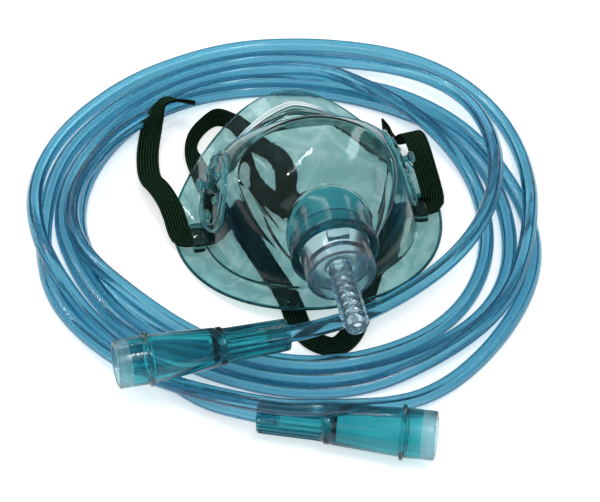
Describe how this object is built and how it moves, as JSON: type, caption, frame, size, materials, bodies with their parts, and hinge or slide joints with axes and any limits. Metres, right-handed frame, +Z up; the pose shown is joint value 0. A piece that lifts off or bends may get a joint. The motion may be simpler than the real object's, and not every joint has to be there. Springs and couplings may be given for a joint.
{
  "type": "oxygen face mask",
  "caption": "Clear soft oxygen face mask with nose clip, elastic strap, swivel port connector with a barbed nipple, and coiled supply tube with a funnel connector at each end.",
  "frame": {"origin": "on the table under the middle of the mask's own box, measured without the strap and the tubing", "axes": "+Z up with the mask lying face-opening down, +Y to the nose, -Y to the chin and out of the port, +X to the right as seen along +Y"},
  "size_m": [0.183, 0.2148, 0.0475],
  "materials": {
    "soft_green_vinyl": "clear soft vinyl with a green tint",
    "clip_aluminium": "bright rolled strip",
    "clear_connector": "clear rigid plastic",
    "strap_elastic": "ribbed dark green elastic",
    "blue_tube_vinyl": "clear blue vinyl with inner ribs",
    "green_connector_vinyl": "dark clear green vinyl"
  },
  "bodies": {
    "mask": {"mask_shell": "soft_green_vinyl", "nose_clip": "clip_aluminium", "head_strap": "strap_elastic", "oxygen_tube_coil": "blue_tube_vinyl", "oxygen_tube_lead_front": "blue_tube_vinyl", "oxygen_tube_lead_rear": "blue_tube_vinyl", "tube_connector_front": "green_connector_vinyl", "tube_connector_rear": "green_connector_vinyl"},
    "swivel": {"swivel_connector": "clear_connector"}
  },
  "joints": [
    {"name": "connector_swivel", "type": "hinge", "parent": "mask", "child": "swivel", "pos_m": [0, -0.04, 0.03], "axis": [0, -1, 0], "continuous": true}
  ]
}
